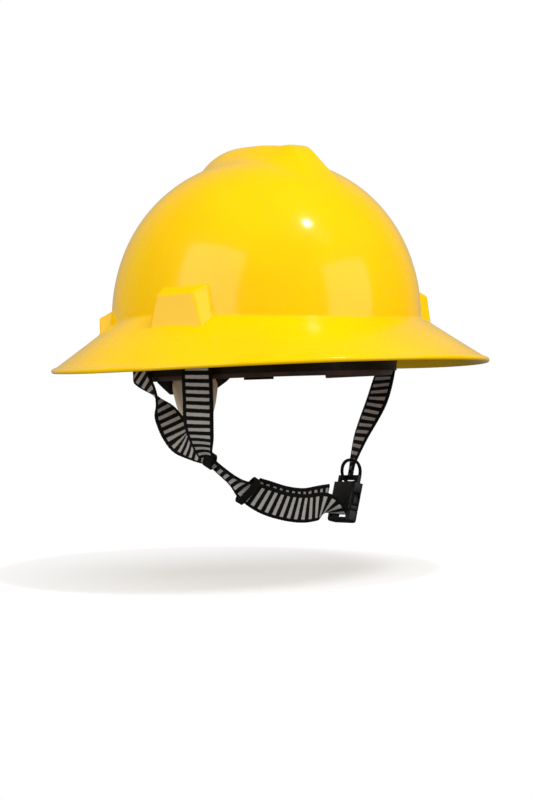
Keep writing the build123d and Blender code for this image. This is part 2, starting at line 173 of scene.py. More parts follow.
def shell_material():
    """Glossy moulded polyethylene: clear yellow with faint clouding, orange peel and a few fine scuffs."""
    mat, bsdf = shader("shell_gloss", (0.96, 0.62, 0.004), 0.3, Coat_Weight=0.5, Coat_Roughness=0.12,
                       IOR=1.45, Specular_IOR_Level=0.1)
    cloud = noise(mat, 14.0, 4.0)
    yellow = mix_colour(mat, ranged(mat, cloud, 0.35, 0.7, 0.0, 1.0), (1.0, 0.60, 0.0), (0.965, 0.565, 0.0))
    link(mat, yellow, bsdf.inputs["Base Color"])
    link(mat, ranged(mat, noise(mat, 60.0, 5.0), 0.3, 0.75, 0.22, 0.32), bsdf.inputs["Roughness"])
    bump(mat, bsdf, noise(mat, 420.0, 1.0), 0.025, 0.0003)
    return mat


def plastic_material(name, colour, roughness, grain=1500.0, wear=0.25):
    """Moulded plastic with a fine spark-eroded grain and slightly paler worn places."""
    mat, bsdf = shader(name, colour, roughness, Specular_IOR_Level=0.3)
    worn = ranged(mat, noise(mat, 90.0, 6.0), 0.48, 0.8, 0.0, wear)
    pale = tuple(min(1.0, c * 2.4 + 0.02) for c in colour)
    link(mat, mix_colour(mat, worn, colour, pale), bsdf.inputs["Base Color"])
    uneven = ranged(mat, noise(mat, 200.0, 3.0), 0.3, 0.7, roughness - 0.06, roughness + 0.1)
    link(mat, uneven, bsdf.inputs["Roughness"])
    bump(mat, bsdf, noise(mat, grain, 2.0), 0.18, 0.0002)
    return mat


def leather_material():
    """The brown sweatband: soft grain, darker in its hollows."""
    mat, bsdf = shader("sweatband_leather", (0.06, 0.025, 0.012), 0.6, Sheen_Weight=0.15)
    cells = add(mat, "ShaderNodeTexVoronoi", feature="SMOOTH_F1")
    place = add(mat, "ShaderNodeTexCoord")
    cells.inputs["Scale"].default_value = 900.0
    link(mat, place.outputs["Object"], cells.inputs["Vector"])
    tone = ranged(mat, noise(mat, 70.0, 5.0), 0.3, 0.75, 0.0, 1.0)
    link(mat, mix_colour(mat, tone, (0.045, 0.018, 0.009), (0.10, 0.042, 0.02)), bsdf.inputs["Base Color"])
    bump(mat, bsdf, math_node(mat, "ADD", cells.outputs["Distance"], noise(mat, 300.0)), 0.35, 0.0004)
    return mat


def pad_material():
    """The nape pad's brushed cream cloth, with painted shade that turns it browner towards its top."""
    mat, bsdf = shader("nape_pad_cloth", (0.62, 0.47, 0.30), 0.85, Sheen_Weight=0.4, Sheen_Roughness=0.5)
    place = add(mat, "ShaderNodeTexCoord")
    split = add(mat, "ShaderNodeSeparateXYZ")
    link(mat, place.outputs["Object"], split.inputs[0])
    # Painted shade: the cloth goes from cream to brown towards the pad's top, where it sits up inside the
    # helmet.
    high = ranged(mat, split.outputs["Z"], -0.036, 0.002, 0.0, 1.0)
    fibre = ranged(mat, noise(mat, 1400.0, 3.0), 0.3, 0.7, 0.0, 0.14)
    cream_with_painted_top_shade = mix_colour(mat, high, (0.92, 0.80, 0.62), (0.60, 0.41, 0.24))
    link(mat, mix_colour(mat, fibre, cream_with_painted_top_shade, (0.36, 0.25, 0.15)), bsdf.inputs["Base Color"])
    bump(mat, bsdf, math_node(mat, "ADD", noise(mat, 1800.0, 2.0), noise(mat, 260.0, 3.0)), 0.4, 0.0005)
    return mat


def woven(name, colour, roughness):
    """A webbing material, with its positions across and along the webbing in millimetres, from its UV map."""
    mat, bsdf = shader(name, colour, roughness, Specular_IOR_Level=0.2, Sheen_Weight=0.04,
                       Sheen_Roughness=0.4)
    uv = add(mat, "ShaderNodeUVMap", uv_map="webbing")
    split = add(mat, "ShaderNodeSeparateXYZ")
    link(mat, uv.outputs["UV"], split.inputs[0])
    return mat, bsdf, split.outputs["X"], split.outputs["Y"]


def wave(mat, value, period):
    """A sine of a value in millimetres."""
    return math_node(mat, "SINE", math_node(mat, "MULTIPLY", value, 2 * math.pi / period))


def webbing_material():
    """Black webbing woven with pale cross stripes between dark selvages."""
    pitch, share, pale = 5.2, 0.46, (0.66, 0.62, 0.575)
    mat, bsdf, across, along = woven("striped_webbing", (0.006, 0.006, 0.006), 0.8)
    zigzag = math_node(mat, "PINGPONG", across, 0.55)
    shifted = math_node(mat, "ADD", along, math_node(mat, "MULTIPLY", zigzag, 0.55))
    shifted = math_node(mat, "ADD", shifted, math_node(mat, "MULTIPLY", noise(mat, 700.0, 2.0), 0.5))
    phase = math_node(mat, "PINGPONG", shifted, pitch / 2)
    half_stripe, fringe = pitch / 2 * share, 0.12
    stripe = ranged(mat, phase, half_stripe - fringe, half_stripe + fringe, 1.0, 0.0)
    inside = ranged(mat, math_node(mat, "ABSOLUTE", across), 7.3, 7.8, 1.0, 0.0)
    pale_share = math_node(mat, "MULTIPLY", stripe, inside)
    thread = math_node(mat, "MULTIPLY", wave(mat, across, 1.1), wave(mat, along, 0.9))
    yarn = ranged(mat, math_node(mat, "ADD", thread, noise(mat, 1500.0, 2.0)), -0.4, 1.3, 0.0, 1.0)
    pale_tone = mix_colour(mat, yarn, tuple(c * 0.62 for c in pale), pale)
    dark_tone = mix_colour(mat, yarn, (0.002, 0.002, 0.002), (0.009, 0.0085, 0.008))
    link(mat, mix_colour(mat, pale_share, dark_tone, pale_tone), bsdf.inputs["Base Color"])
    height = math_node(mat, "ADD", math_node(mat, "MULTIPLY", thread, 0.5),
                       math_node(mat, "MULTIPLY", pale_share, 0.6))
    bump(mat, bsdf, height, 0.7, 0.0003)
    return mat


def black_webbing_material():
    """Plain black webbing: ribs across it under a twill."""
    mat, bsdf, across, along = woven("black_webbing", (0.014, 0.014, 0.015), 0.75)
    ribs = wave(mat, along, 1.0)
    twill = wave(mat, math_node(mat, "ADD", across, along), 1.5)
    yarn = ranged(mat, math_node(mat, "ADD", ribs, noise(mat, 1500.0, 2.0)), -0.6, 1.6, 0.0, 1.0)
    link(mat, mix_colour(mat, yarn, (0.002, 0.002, 0.002), (0.012, 0.011, 0.010)), bsdf.inputs["Base Color"])
    bump(mat, bsdf, math_node(mat, "ADD", math_node(mat, "MULTIPLY", ribs, 0.5), twill), 0.5, 0.0003)
    return mat


def metal_material():
    """Zinc-plated steel, a little uneven."""
    mat, bsdf = shader("zinc_steel", (0.55, 0.56, 0.58), 0.35, Metallic=1.0)
    link(mat, ranged(mat, noise(mat, 500.0, 4.0), 0.3, 0.7, 0.25, 0.5), bsdf.inputs["Roughness"])
    return mat


SHELL = shell_material()
SUSPENSION = plastic_material("suspension_nylon", (0.016, 0.0075, 0.004), 0.5)
RATCHET = plastic_material("ratchet_plastic", (0.013, 0.013, 0.014), 0.45, 1100.0)
BUCKLE = plastic_material("buckle_acetal", (0.010, 0.010, 0.011), 0.32, 1800.0, 0.15)
LEATHER = leather_material()
PAD = pad_material()
STRIPED = webbing_material()
BLACK_WEB = black_webbing_material()
STEEL = metal_material()


# ---------------------------------------------------------------- meshes
def piece(name, verts, faces, body, material, uv=None):
    """A mesh object in metres that rides on a body. uv holds one pair per vertex."""
    mesh = bpy.data.meshes.new(name)
    mesh.from_pydata([tuple(v) for v in verts], [], [tuple(f) for f in faces])
    mesh.update()
    if uv is not None:
        layer = mesh.uv_layers.new(name="webbing")
        corners = np.zeros(len(mesh.loops), np.int32)
        mesh.loops.foreach_get("vertex_index", corners)
        layer.data.foreach_set("uv", np.asarray(uv, np.float32)[corners].ravel())
    obj = bpy.data.objects.new(name, mesh)
    bpy.context.scene.collection.objects.link(obj)
    mesh.materials.append(material)
    mesh.shade_smooth()
    if body:
        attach(obj, body)
    return obj


def apply_modifiers(obj):
    """Writes the modifiers' result into the object's mesh."""
    result = obj.evaluated_get(bpy.context.evaluated_depsgraph_get())
    mesh = bpy.data.meshes.new_from_object(result)
    old = obj.data
    obj.modifiers.clear()
    obj.data = mesh
    bpy.data.meshes.remove(old)


def grid_faces(rows, columns, wrap):
    """Quads over a grid of rows by columns, closed round the columns where wrap is true."""
    faces = []
    last = columns if wrap else columns - 1
    for i in range(rows - 1):
        for j in range(last):
            k = (j + 1) % columns
            faces.append((i * columns + j, i * columns + k, (i + 1) * columns + k, (i + 1) * columns + j))
    return faces


def smooth_min(a, b, k):
    """The smaller of two values, with the corner between them rounded over k."""
    h = np.clip(0.5 + 0.5 * (b - a) / k, 0, 1)
    return b + (a - b) * h - k * h * (1 - h)


def smooth_max(a, b, k):
    return -smooth_min(-a, -b, k)


def step(value, low, high):
    """A smooth step from 0 at low to 1 at high."""
    t = np.clip((value - low) / (high - low), 0, 1)
    return t * t * (3 - 2 * t)


def hermite(t, length, start, end, start_slope, end_slope):
    """A cubic between two values with given slopes; t runs from 0 to 1 over the length."""
    return ((2 * t**3 - 3 * t**2 + 1) * start + (t**3 - 2 * t**2 + t) * length * start_slope
            + (-2 * t**3 + 3 * t**2) * end + (t**3 - t**2) * length * end_slope)


def curve_through(xs, ys, x):
    """A smooth curve through a few points (monotone cubic)."""
    d = np.diff(ys) / np.diff(xs)
    m = np.zeros(len(xs))
    total = np.where(d[1:] + d[:-1] == 0, 1, d[1:] + d[:-1])
    m[1:-1] = np.where(d[1:] * d[:-1] > 0, 2 * d[1:] * d[:-1] / total, 0)
    i = np.clip(np.searchsorted(xs, x) - 1, 0, len(xs) - 2)
    h = xs[i + 1] - xs[i]
    t = np.clip((x - xs[i]) / h, 0, 1)
    return hermite(t, h, ys[i], ys[i + 1], m[i], m[i + 1])


def run_along(line):
    """The distance run along a line of points, at each point."""
    return np.concatenate([[0], np.cumsum(np.linalg.norm(np.diff(line, axis=0), axis=1))])


def tube_faces(rings, around):
    """Quads round a tube of rings, with a face over each end."""
    faces = grid_faces(rings, around, True)
    return faces + [tuple(range(around - 1, -1, -1)), tuple(range((rings - 1) * around, rings * around))]


# ---------------------------------------------------------------- shell
def polar_radius(half_x, half_y, turn):
    """The radius of an ellipse in a direction, turned from the front."""
    return half_x * half_y / np.hypot(half_y * np.sin(turn), half_x * np.cos(turn))


def junction_height(turn):
    """Where the crown meets the brim: higher at the sides than at the front and the back."""
    return 29.8 - 3.5 * np.cos(2 * turn)


def rim_height(turn):
    """The lip's lowest point: highest at the back, and lowest a little forward of the sides."""
    return -1.65 - 2 * np.cos(turn) + 1.65 * np.cos(2 * turn)


def crown_frame(parameter):
    """A place on the crown's foot, with its outward normal and its direction along the wall."""
    turn = math.radians(parameter)
    x, y = DOME_X * math.sin(turn), -DOME_Y * math.cos(turn)
    n = np.array([x / DOME_X**2, y / DOME_Y**2])
    n /= np.hypot(*n)
    return np.array([x, y]), n, np.array([n[1], -n[0]])


def dome_factor(z, inset=0.0):
    """The share of its foot radius that the dome has at a height."""
    share = np.clip((z - DOME_BASE) / (DOME_HEIGHT - inset), 0, 1)
    return (1 - share**DOME_POWER) ** (1 / DOME_POWER)


# Crest stations: y, height above the dome, half width of its top, half width of its foot
CREST = np.array([(-86, 0, 10.5, 11.5), (-80, 0.5, 10.5, 12.5), (-70, 1.9, 10.5, 14.5), (-66, 3.0, 9.8, 16),
                  (-62, 4.6, 9, 17.5), (-58, 6.6, 8.2, 19.5), (-54, 8.9, 7.5, 21), (-50, 10.6, 7.2, 23),
                  (-46, 11.2, 7.5, 24.5), (-40, 10.0, 8, 26.5), (-32, 8.4, 9.5, 28.2), (-12, 8.3, 12, 30),
                  (14, 9.7, 12.5, 29), (34, 10.7, 12, 26.5), (52, 11.2, 10.5, 22.5), (68, 10.6, 8.5, 18),
                  (82, 8.0, 6, 13), (92, 3.6, 4, 10), (104, 0, 3, 7)])


def crest_height(x, y):
    """Height of the crest above the dome: a flat top with hollowed sides down to its foot."""
    tall, top, foot = (curve_through(CREST[:, 0], CREST[:, k], y) for k in (1, 2, 3))
    down = smooth_max((np.abs(x) - top) / (foot - top), np.zeros_like(x), 0.07)
    side = np.clip(1 - down, 0, 1)
    hollow = side**1.9
    swell = side * side * (3 - 2 * side)
    shape = hollow + (swell - hollow) * step(y, -45, 20)
    return np.where((y > CREST[0, 0]) & (y < CREST[-1, 0]), tall * shape, 0)


# Pockets: place round the crown, foot and top half width inside the wall, face's low and high half width,
# how far the face stands out, and the top edge's height
BOSSES = [(FRONT_KEY, 27.0, 20.0, 22.0, 15.0, 8.6, 49.0), (REAR_KEY, 24.0, 17.0, 19.0, 12.0, 8.0, 40.0)]


BOSS_FOOT = 20.0  # the height from which the pockets' widths are measured
BOSS_SINK = 6.0  # how far a pocket's flanks and lid carry on inside the crown's foot
BOSS_LID = 4.0  # its lid starts to slope this far below its top edge
BOSS_ROUND, BOSS_BLEND = 0.9, 1.0  # rounding of its edges, and of its meeting with the crown
LUG_REACH, LUG_HALF, LUG_TOP, LUG_SCOOP = 9.0, 12.0, 29.8, 7.5
LUG_ROUND, LUG_BLEND = 0.8, 0.6


def boss_face(parameter, foot, top, face_low, face_high, reach, high, plan, z):
    """How far the pocket's surface lies outwards from the crown's foot at each point."""
    origin, _, along = crown_frame(parameter)
    t = np.abs((plan - origin) @ along)
    share = (z - BOSS_FOOT) / (high - BOSS_LID - BOSS_FOOT)
    inner = (z - BOSS_FOOT) / (high + 3 - BOSS_FOOT)
    face_half = face_low + (face_high - face_low) * share
    foot_half = foot + (top - foot) * inner
    side = reach - (t - face_half) * (reach + BOSS_SINK) / (foot_half - face_half)
    lid = reach - (z - (high - BOSS_LID)) * (reach + BOSS_SINK) / 7
    return smooth_min(smooth_min(np.full_like(t, reach), side, BOSS_ROUND), lid, BOSS_ROUND)


def lug_face(plan, z):
    """The side lug: a flat-topped block with a scoop at its front end."""
    origin, _, along = crown_frame(SIDE_LUG)
    t = (plan - origin) @ along
    side = LUG_REACH - (np.abs(t) - LUG_HALF) * 8
    scoop = LUG_REACH - LUG_SCOOP * step(-t, 2.5, 5.0)
    lid = LUG_REACH - (z - LUG_TOP) * 9
    return smooth_min(smooth_min(side, scoop, LUG_ROUND), lid, LUG_ROUND)


def pushed(plan, z):
    """Moves points of the crown wall out to the pockets and lugs where those stand proud."""
    out = plan.copy()
    for side in (1, -1):
        mirror = np.array([side, 1.0])
        mirrored = plan * mirror

        def raised(parameter, reach_along, face, blend):
            origin, normal, along = crown_frame(parameter)
            depth = (mirrored - origin) @ normal
            near = (mirrored[:, 0] > 0) & (np.abs((mirrored - origin) @ along) < reach_along)
            rise = np.where(near, smooth_max(face - depth, np.zeros_like(depth), blend), 0)
            return rise[:, None] * (normal * mirror)

        for boss in BOSSES:
            out += raised(boss[0], 34, boss_face(*boss, mirrored, z), BOSS_BLEND)
        out += raised(SIDE_LUG, 16, lug_face(mirrored, z), LUG_BLEND)
    return out


def brim_height(plan):
    """Height of the brim's upper face over a point in plan."""
    turn = np.arctan2(plan[:, 0], -plan[:, 1])
    r = np.hypot(plan[:, 0], plan[:, 1])
    crown, rim = polar_radius(DOME_X, DOME_Y, turn), polar_radius(RIM_X, RIM_Y, turn)
    share = (r - crown) / (rim - BRIM_END - crown)
    return junction_height(turn) + (rim_height(turn) + BRIM_RISE - junction_height(turn)) * share


def shell_turns():
    """Angles round the shell, closer together where the pockets and lugs are."""
    fine = []
    for parameter, half in ((FRONT_KEY, 30), (REAR_KEY, 27), (SIDE_LUG, 15)):
        origin, _, _ = crown_frame(parameter)
        middle = math.atan2(origin[0], -origin[1])
        reach = half / math.hypot(*origin)
        fine += [(middle - reach, middle + reach), (-middle - reach, -middle + reach)]
    fine_step, coarse_step = 0.0075, 0.0180
    turns = [-math.pi]
    while turns[-1] < math.pi:
        here = turns[-1]
        close = any(a < here < b for a, b in fine)
        turns.append(here + (fine_step if close else coarse_step))
    return np.array(turns[:-1])


def make_shell():
    """The helmet's shell in rings, from the top of the crown out to the lip and back up the inside."""
    turns = shell_turns()
    n = len(turns)
    direction = np.stack([np.sin(turns), -np.cos(turns)], axis=1)
    crown = polar_radius(DOME_X, DOME_Y, turns)
    rim = polar_radius(RIM_X, RIM_Y, turns)
    rows = []

    def outer_point(z):
        plan = direction * (crown * dome_factor(z))[:, None]
        return pushed(plan, z)

    # From the top down to the height where the pockets begin
    split = 60.0
    split_reach = float(dome_factor(np.array(split)))
    for share in [*np.linspace(POLE, 0.80, 60), *np.linspace(0.80, split_reach, 9)[1:]]:
        plan = direction * (crown * share)[:, None]
        z = DOME_BASE + DOME_HEIGHT * (1 - share**DOME_POWER) ** (1 / DOME_POWER)
        z = z + crest_height(plan[:, 0], plan[:, 1])
        rows.append(np.column_stack([plan, z]))
    # Then down the wall. Its foot depends on how far the pockets push it out, so it is found by repetition
    foot = junction_height(turns)
    for _ in range(12):
        foot = brim_height(outer_point(foot))
    for share in np.linspace(0, 1, 50)[1:]:
        z = split + (foot - split) * share
        rows.append(np.column_stack([outer_point(z), z]))
    junction = len(rows) - 1
    start = rows[-1][:, :2]
    edge = direction * (rim - BRIM_END)[:, None]
    for share in np.linspace(0, 1, 17)[1:] ** 1.35:
        plan = start + (edge - start) * share
        rows.append(np.column_stack([plan, brim_height(plan)]))
    # The rolled lip: distances out from the rim and up from its lowest point
    low = rim_height(turns)
    for out, up in ((-2.4, 3.75), (-1.1, 3.3), (-0.35, 2.75), (0, 1.9), (0, 1.1), (-0.35, 0.4), (-1.1, 0.0),
                    (-2.2, 0.05), (-2.9, 0.5)):
        rows.append(np.column_stack([direction * (rim + out)[:, None], low + up]))
    # The brim's underside
    under_edge = direction * (rim - 2.9)[:, None]
    under_start = direction * (crown - 1.6)[:, None]
    for share in np.linspace(0, 1, 7)[1:]:
        plan = under_edge + (under_start - under_edge) * share
        z = (low + 0.5) + (junction_height(turns) - BRIM_RISE - low - 0.5) * share
        rows.append(np.column_stack([plan, z]))
    # The inside of the crown, up its wall and then over the dome
    inner = polar_radius(DOME_X - WALL, DOME_Y - WALL, turns)
    bottom = junction_height(turns) - 3.4
    wall_top = 48.0
    for share in np.linspace(0, 1, 6):
        z = bottom + (wall_top - bottom) * share
        factor = np.where(z > DOME_BASE, dome_factor(z, WALL), 1.0)
        rows.append(np.column_stack([direction * (inner * factor)[:, None], z]))
    top_share = float(dome_factor(np.array(wall_top), WALL))
    for share in np.linspace(top_share, POLE, 16)[1:]:
        plan = direction * (inner * share)[:, None]
        z = DOME_BASE + (DOME_HEIGHT - WALL) * (1 - share**DOME_POWER) ** (1 / DOME_POWER)
        z = z + 0.86 * crest_height(plan[:, 0] * 1.3, plan[:, 1])
        rows.append(np.column_stack([plan, z]))
    profile = np.array(rows)
    for _ in range(2):  # rounds the corner between crown and brim
        near = slice(junction - 1, junction + 2)
        before, after = profile[junction - 2:junction + 1], profile[junction:junction + 3]
        profile[near] = (before + 2 * profile[near] + after) / 4
    count = len(profile)
    verts = profile.reshape(-1, 3)
    top = [0, 0, float(profile[0][:, 2].mean())]
    inside = [0, 0, float(profile[-1][:, 2].mean())]
    verts = np.vstack([verts, top, inside]) * MM
    faces = grid_faces(count, n, True)
    faces = [f[::-1] for f in faces]
    faces += [(count * n, j, (j + 1) % n) for j in range(n)]
    base = (count - 1) * n
    faces += [(count * n + 1, base + (j + 1) % n, base + j) for j in range(n)]
    shell = piece("helmet_shell", verts, faces, "helmet", SHELL)
    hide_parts("shell")


# ---------------------------------------------------------------- webbing
def resampled(stations, spacing):
    """A smooth curve through stations, evenly spaced: centres, width directions, tangents, widths, run."""
    centres = np.array([s[0] for s in stations], float)
    across = np.array([s[1] for s in stations], float)
    across /= np.linalg.norm(across, axis=1)[:, None]
    widths = np.array([s[2] for s in stations], float)
    data = np.column_stack([centres, across * WEB_WIDTH, widths])
    knots = np.concatenate([[0], np.cumsum(np.sqrt(np.linalg.norm(np.diff(centres, axis=0), axis=1)))])
    fine = np.linspace(0, knots[-1], 40 * len(stations))
    slopes = np.gradient(data, knots, axis=0)
    i = np.clip(np.searchsorted(knots, fine, side="right") - 1, 0, len(knots) - 2)
    h = (knots[i + 1] - knots[i])[:, None]
    t = ((fine - knots[i])[:, None]) / h
    line = hermite(t, h, data[i], data[i + 1], slopes[i], slopes[i + 1])
    length = run_along(line[:, :3])
    even = np.linspace(0, length[-1], max(8, int(length[-1] / spacing)))
    line = np.column_stack([np.interp(even, length, line[:, k]) for k in range(7)])
    centre = line[:, :3]
    tangent = np.gradient(centre, axis=0)
    tangent /= np.linalg.norm(tangent, axis=1)[:, None]
    wide = line[:, 3:6]
    wide = wide - (wide * tangent).sum(1)[:, None] * tangent
    wide /= np.linalg.norm(wide, axis=1)[:, None]
    return centre, wide, tangent, line[:, 6], even


def webbing(name, stations, material, replaces, body="helmet", thick=WEB_THICK, start=0.0,
            flat_width=WEB_WIDTH):
    """Webbing through the stations, with thicker selvages; where it is narrow it is folded lengthwise."""
    centre, wide, tangent, width, along = resampled(stations, WEB_SPACING)
    normal = np.cross(tangent, wide)
    steps = np.linspace(-1, 1, WEB_ACROSS)
    around = 2 * WEB_ACROSS
    sign = np.concatenate([np.ones(WEB_ACROSS), -np.ones(WEB_ACROSS)])
    across = np.concatenate([steps, steps[::-1]])
    edge = np.abs(across)
    half = thick / 2 * (1 + 0.18 * np.exp(-((edge - 0.86) / 0.07) ** 2)) * np.where(edge > 0.99, 0.45, 1.0)
    verts, uv = [], []
    for k in range(len(centre)):
        fold = np.clip(1 - width[k] / flat_width, 0, 0.8)
        swell = (1 + 1.1 * fold)
        weave = 1 + 0.012 * math.sin(2 * math.pi * along[k] / 2.1)
        dish = 3.5 * fold * (across**2 - 0.33)
        ripple = 0.07 * math.sin(2 * math.pi * along[k] / 2.6)
        offset = sign * (half * swell + ripple * (edge < 0.8)) + dish
        sideways = np.outer(across * width[k] / 2 * weave, wide[k])
        verts.append(centre[k] + sideways + np.outer(offset, normal[k]))
        uv.append(np.column_stack([across * flat_width / 2, np.full(around, along[k] + start)]))
    faces = tube_faces(len(centre), around)
    obj = piece(name, np.vstack(verts) * MM, faces, body, material, np.vstack(uv))
    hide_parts(*replaces)
    return obj


# Stations of the straps, in millimetres: centre, direction across the webbing, visible width
STRAP_REAR = [((-81, 37, 8), (0.25, 0.97, 0), 20), ((-81.3, 36, 2.5), (0.2, 0.97, 0), 20),
              ((-81, 31, -5), (-0.1, 0.99, 0), 20),
              ((-77, 26, -13.5), (0.16, 0.98, 0), 19), ((-73, 24, -21), (0.65, 0.75, 0), 17),
              ((-69, 21.5, -30), (0.96, 0.06, 0.15), 19), ((-65.4, 16.5, -41), (0.91, -0.39, 0.2), 20),
              ((-64, 12, -48.5), (0.57, -0.76, 0.3), 18)]
STRAP_FRONT_R = [((-81.5, -39.5, 18), (0.32, -0.95, 0), 20), ((-82, -40.5, 9), (0.4, -0.9, 0), 20),
                 ((-83, -42, -4), (0.7, -0.7, 0), 20),
                 ((-79, -36, -22), (0.72, -0.7, 0), 20), ((-76.5, -32, -37), (0.65, -0.75, 0), 20),
                 ((-73, -28.5, -46), (0.55, -0.8, 0), 18), ((-67, -22.5, -55), (0.4, -0.85, 0.2), 12),
                 ((-62, -18.4, -60.5), (0.1, -0.85, 0.4), 8.5)]
CHIN = [((-64, 4.0, -52), (0.24, -0.53, 0.8), 17), ((-62.7, -7.3, -57.5), (-0.1, -0.66, 0.7), 12),
        ((-59, -17, -62), (-0.3, -0.8, 0.5), 9), ((-52.7, -21.7, -69), (-0.3, -0.8, 0.5), 9),
        ((-44.7, -24.8, -76.4), (-0.3, -0.7, 0.6), 11), ((-35.6, -26.3, -83.5), (-0.1, -0.5, 0.8), 17),
        ((-24, -29.4, -90), (-0.04, -0.4, 0.9), 20), ((-10, -32, -95), (-0.1, -0.32, 0.93), 20),
        ((6, -33, -97.5), (-0.2, -0.22, 0.93), 20), ((20, -32.7, -97), (-0.3, -0.3, 0.85), 20),
        ((29, -31, -98.8), (-0.15, -0.75, 0.6), 20), ((36.5, -29.2, -102.6), (0, -1, 0.05), 20)]
CHIN_TAIL = [((-30, -24.8, -83), (-0.06, -0.42, 0.88), 19), ((-23, -26.4, -86), (-0.04, -0.4, 0.9), 20),
             ((-9, -29, -91), (-0.1, -0.32, 0.93), 20), ((6, -30, -93.5), (-0.2, -0.22, 0.93), 20),
             ((19, -29.6, -92.5), (-0.3, -0.25, 0.88), 20), ((29, -27.6, -91), (-0.3, -0.4, 0.8), 19)]
STRAP_FRONT_L = [((81.6, -39, 18), (-0.32, -0.95, 0), 20), ((82, -38.5, 9), (-0.25, -0.96, 0), 20),
                 ((79.5, -33, -6), (0.05, -0.99, 0), 20),
                 ((70, -34.4, -26), (0.17, -0.98, 0), 20), ((62.7, -33, -40), (0.03, -1, 0), 20),
                 ((56, -31.6, -53), (-0.2, -0.98, 0), 20), ((52.2, -29.6, -65.2), (-0.4, -0.92, 0), 18),
                 ((50.4, -29.3, -72), (-0.5, -0.87, 0), 14), ((48.6, -29.1, -79.5), (-0.5, -0.87, 0), 12)]


def make_straps():
    """The chin strap. The run over the chin, from the helmet to the buckle's lower half, and its tail ride on
    no body.
    """
    webbing("front_right_webbing", STRAP_FRONT_R, STRIPED, ["strap_front_right"])
    webbing("front_left_webbing", STRAP_FRONT_L, STRIPED, ["strap_front_left"])
    chin = webbing("rear_and_chin_webbing", STRAP_REAR + CHIN, STRIPED,
                   ["strap_rear_right", "chin_webbing"], body=None)
    tail = webbing("chin_band_tail", CHIN_TAIL, STRIPED, ["chin_webbing_tail"], body=None,
                   start=2.6)
    for obj in (chin, tail):
        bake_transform(obj)


def crown_strap(name, node, side, top):
    """Webbing over the head from a front key to the rear key across."""
    front, front_normal, _ = crown_frame(FRONT_KEY * side)
    rear, rear_normal, _ = crown_frame(-REAR_KEY * side)
    a, b = front - 13.4 * front_normal, rear - 7.4 * rear_normal
    span = np.hypot(*(b - a))
    run = (b - a) / span
    low, width = 35.5, 19.5
    stations = []
    for turn in math.pi * np.linspace(0, 1, 25):
        plan = (a + b) / 2 - run * (span / 2 - WEB_THICK / 2) * math.cos(turn)
        z = low + (top - WEB_THICK / 2 - low) * math.sin(turn)
        stations.append(((plan[0], plan[1], z), (run[1], -run[0], 0), width))
    webbing(name, stations, BLACK_WEB, [node])


def rounded(wave_value, power):
    """A sine or cosine value swollen towards a squarer outline."""
    return math.copysign(abs(wave_value) ** power, wave_value)


def loop(name, node, stations, index, across, through, length):
    """A soft loop of narrow webbing round other webbing at one of its stations."""
    here, before, after = (np.array(stations[k][0], float) for k in (index, index - 1, index + 1))
    along = (after - before) / np.linalg.norm(after - before)
    wide = np.array(stations[index][1], float)
    wide -= along * (wide @ along)
    wide /= np.linalg.norm(wide)
    normal = np.cross(along, wide)
    ring = []
    for turn in np.linspace(0, 2 * math.pi, 37)[:-1]:
        u = rounded(math.cos(turn), 0.6) * across / 2
        v = rounded(math.sin(turn), 0.6) * through / 2
        ring.append((tuple(here + wide * u + normal * v), tuple(along), length))
    ring.append(ring[0])
    webbing(name, ring, BLACK_WEB, [node], thick=LOOP_THICK, flat_width=length)


def make_loops():
    """The wrap where the straps meet, the keeper of the tail, and the ring through the buckle's top bar."""
    loop("junction_wrap", "junction_loop", CHIN, 2, 12.5, 6.0, 7)
    loop("keeper_wrap", "webbing_keeper", CHIN, 5, 20.8, 7.4, 5)
    ring = []
    for turn in np.linspace(0, 2 * math.pi, 33):
        lobe = 6.3 * rounded(math.sin(turn), 0.8)
        centre = (49.4 + 0.82 * lobe, -29 - 0.57 * lobe, -74.6 + 7.9 * math.cos(turn))
        ring.append((centre, (0.57, 0.82, 0), 9))
    webbing("buckle_ring", ring, BLACK_WEB, ["buckle_strap_loop"], thick=RING_THICK,
            flat_width=9)


# ---------------------------------------------------------------- padded parts
def spline(points, start, end, spacing):
    """A smooth curve through points with given directions at its ends, as evenly spaced points in plan."""
    points = np.array(points, float)
    knots = run_along(points)
    h = np.diff(knots)
    n = len(points)
    system, right = np.zeros((n, n)), np.zeros((n, 2))
    system[0, 0] = system[-1, -1] = 1
    right[0], right[-1] = start, end
    for i in range(1, n - 1):
        system[i, i - 1:i + 2] = h[i], 2 * (h[i - 1] + h[i]), h[i - 1]
        before, after = points[i] - points[i - 1], points[i + 1] - points[i]
        right[i] = 3 * (h[i] * before / h[i - 1] + h[i - 1] * after / h[i])
    slopes = np.linalg.solve(system, right)
    fine = np.linspace(0, knots[-1], 800)
    i = np.clip(np.searchsorted(knots, fine, side="right") - 1, 0, n - 2)
    t = ((fine - knots[i]) / h[i])[:, None]
    line = hermite(t, h[i][:, None], points[i], points[i + 1], slopes[i], slopes[i + 1])
    length = run_along(line)
    even = np.linspace(0, length[-1], int(length[-1] / spacing))
    return np.column_stack([np.interp(even, length, line[:, k]) for k in range(2)])


def band_line(outset):
    """The headband's line from the left side round the front to the right side, moved outwards."""
    bend = outset * 0.75
    side = BAND_SIDE + outset
    points = [(side, BAND_BACK), (74.4 + outset, -38), (56.5 + bend, -73 - bend), (0, -98 - outset),
              (-56.5 - bend, -73 - bend), (-74.4 - outset, -38), (-side, BAND_BACK)]
    front = spline(points, (0, -1), (0, 1), 1.2)
    turns = np.radians(np.linspace(7.5, 0, 9))[:-1]
    left = np.column_stack([side * np.cos(turns), BAND_BACK + side * np.sin(turns)])
    right = left[::-1] * np.array([-1, 1])
    return np.vstack([left, front, right])


